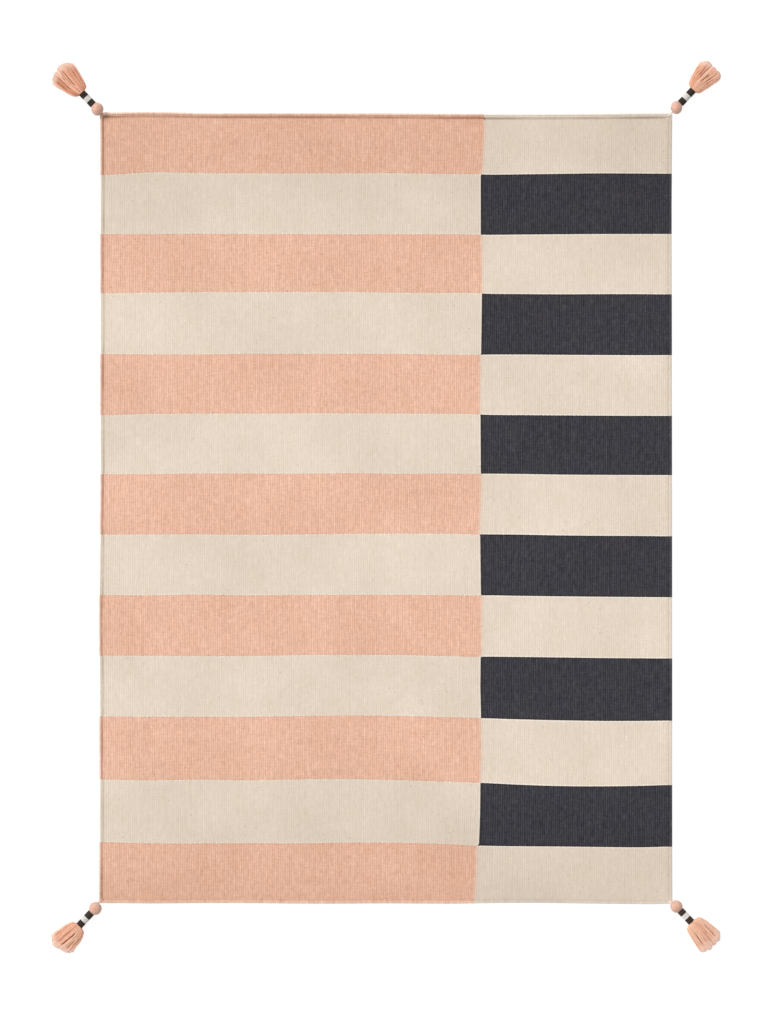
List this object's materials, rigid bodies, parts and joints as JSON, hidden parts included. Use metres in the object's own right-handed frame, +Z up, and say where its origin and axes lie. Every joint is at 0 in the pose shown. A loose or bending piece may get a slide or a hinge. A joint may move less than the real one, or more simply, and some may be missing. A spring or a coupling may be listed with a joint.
{
  "type": "flat-woven wool rug with corner tassels",
  "caption": "Rectangular flat-woven wool rug in offset blocks of stripes, lying flat, with a corded edge and a ball-headed yarn tassel at each corner.",
  "frame": {"origin": "middle of the rug's flat underside, on the surface that it lies on", "axes": "+X across the rug to the side with the dark stripes, +Y along it, +Z up out of its face"},
  "size_m": [1.7795, 2.3723, 0.0329],
  "materials": {
    "rug_weave": "weft-faced flat-woven wool with fine ribs along the rug, in blocks of pink, cream and charcoal",
    "ball_wool": "felted pink wool",
    "dark_wrap": "near-black wool yarn, tightly wound",
    "pale_wrap": "off-white wool yarn, tightly wound",
    "skirt_yarn": "soft twisted pink wool yarn, cut at the end"
  },
  "bodies": {
    "root": {"rug": "rug_weave", "tassel_tl_ball": "ball_wool", "tassel_tl_wrap_inner": "dark_wrap", "tassel_tl_wrap_middle": "pale_wrap", "tassel_tl_wrap_outer": "dark_wrap", "tassel_tl_skirt": "skirt_yarn", "tassel_tr_ball": "ball_wool", "tassel_tr_wrap_inner": "dark_wrap", "tassel_tr_wrap_middle": "pale_wrap", "tassel_tr_wrap_outer": "dark_wrap", "tassel_tr_skirt": "skirt_yarn", "tassel_bl_ball": "ball_wool", "tassel_bl_wrap_inner": "dark_wrap", "tassel_bl_wrap_middle": "pale_wrap", "tassel_bl_wrap_outer": "dark_wrap", "tassel_bl_skirt": "skirt_yarn", "tassel_br_ball": "ball_wool", "tassel_br_wrap_inner": "dark_wrap", "tassel_br_wrap_middle": "pale_wrap", "tassel_br_wrap_outer": "dark_wrap", "tassel_br_skirt": "skirt_yarn"}
  },
  "joints": []
}
